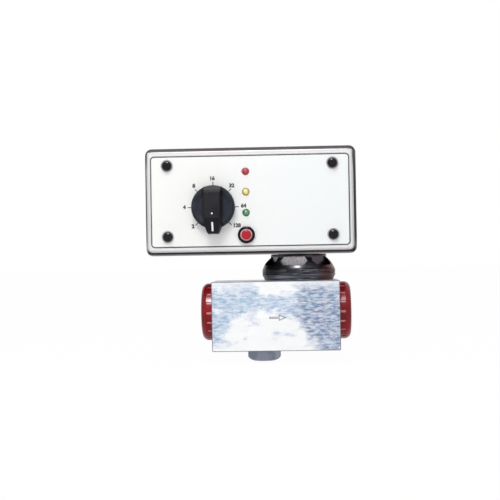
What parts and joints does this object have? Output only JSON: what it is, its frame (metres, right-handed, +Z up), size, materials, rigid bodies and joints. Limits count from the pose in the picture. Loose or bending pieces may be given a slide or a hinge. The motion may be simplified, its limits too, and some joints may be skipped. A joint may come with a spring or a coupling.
{
  "type": "automatic drain valve",
  "caption": "In-line timed drain valve: ported block with screwed bonnet, solenoid and control box with selector knob, lamps, test button and two transit caps.",
  "frame": {"origin": "on the port axis, at the outer end of the inlet's thread wall", "axes": "+X along the flow from inlet to outlet, -Y to the front that the control panel faces, +Z up along the coil and bonnet"},
  "size_m": [0.1522, 0.0911, 0.1556],
  "materials": {
    "milled_block": "milled bright, with a mottled clear passivated film",
    "plug_steel": "turned and plated steel",
    "seal_rubber": "black nitrile rubber",
    "stainless": "drawn stainless steel",
    "bonnet_steel": "turned and polished dark steel",
    "brass": "turned brass",
    "zinc_plate": "zinc plated steel",
    "black_moulding": "black moulded plastic",
    "copper_wire": "enamelled copper winding",
    "box_moulding": "charcoal ABS with a fine spark-eroded grain",
    "lid_moulding": "off-white ABS, semi-gloss",
    "overlay_film": "white printed polyester film",
    "nylon_washer": "natural nylon",
    "black_screw": "black oxide steel, glossy",
    "board_green": "solder-masked circuit board",
    "terminal_green": "green moulded terminal block",
    "lamp_red": "tinted clear epoxy",
    "lamp_yellow": "tinted clear epoxy",
    "lamp_green": "tinted clear epoxy",
    "knob_black": "black phenolic, satin",
    "bezel_black": "black gloss moulding",
    "collar_white": "translucent white moulding",
    "button_red": "red gloss moulding",
    "cap_red": "red polyethylene, glossy"
  },
  "bodies": {
    "valve_and_box": {"valve_block": "milled_block", "bottom_plug": "plug_steel", "plug_seal": "seal_rubber", "strainer_screen": "stainless", "bonnet": "bonnet_steel", "bonnet_oring": "seal_rubber", "piston_spring": "stainless", "plunger_spring": "stainless", "armature_tube": "stainless", "fixed_core": "stainless", "tube_gasket": "seal_rubber", "coil_yoke": "zinc_plate", "coil_bobbin": "black_moulding", "coil_winding": "copper_wire", "coil_washer": "zinc_plate", "coil_nut": "zinc_plate", "box_base": "box_moulding", "lid_gasket": "seal_rubber", "box_lid": "lid_moulding", "front_overlay": "overlay_film", "screw_washers": "nylon_washer", "lid_screws": "black_screw", "circuit_board": "board_green", "board_screws": "zinc_plate", "relay": "black_moulding", "transformer": "black_moulding", "terminal_block": "terminal_green", "lamp_red": "lamp_red", "lamp_yellow": "lamp_yellow", "lamp_green": "lamp_green", "rotary_switch": "black_moulding", "switch_nut": "zinc_plate", "button_housing": "bezel_black", "button_collar": "collar_white", "button_nut": "zinc_plate", "button_spring": "stainless", "cable_gland": "black_moulding", "gland_nut": "black_moulding"},
    "selector": {"selector_knob": "knob_black", "switch_shaft": "stainless"},
    "push_button": {"test_button": "button_red"},
    "armature": {"plunger": "stainless", "pilot_seal": "seal_rubber"},
    "main_piston": {"piston": "brass", "piston_seal": "seal_rubber"},
    "inlet_plug": {"inlet_cap": "cap_red"},
    "outlet_plug": {"outlet_cap": "cap_red"}
  },
  "joints": [
    {"name": "selector_turn", "type": "hinge", "parent": "valve_and_box", "child": "selector", "pos_m": [-0.0003, -0.033, 0.0759], "axis": [0, 1, 0], "range_deg": [0, 315]},
    {"name": "test_press", "type": "slide", "parent": "valve_and_box", "child": "push_button", "axis": [0, 1, 0], "range_m": [0, 0.002], "stiffness_N_per_m": 400, "springref_m": -0.002, "deforming": ["button_spring"]},
    {"name": "plunger_lift", "type": "slide", "parent": "valve_and_box", "child": "armature", "axis": [0, 0, 1], "range_m": [0, 0.005], "stiffness_N_per_m": 300, "springref_m": -0.006, "deforming": ["plunger_spring"]},
    {"name": "piston_lift", "type": "slide", "parent": "valve_and_box", "child": "main_piston", "axis": [0, 0, 1], "range_m": [0, 0.004], "deforming": ["piston_spring"]},
    {"name": "inlet_cap_pull", "type": "slide", "parent": "valve_and_box", "child": "inlet_plug", "axis": [-1, 0, 0], "range_m": [0, 0.06]},
    {"name": "outlet_cap_pull", "type": "slide", "parent": "valve_and_box", "child": "outlet_plug", "axis": [1, 0, 0], "range_m": [0, 0.06]}
  ],
  "couplings": [
    {"joint": "piston_lift", "follows": "plunger_lift", "ratio": 0.8}
  ]
}
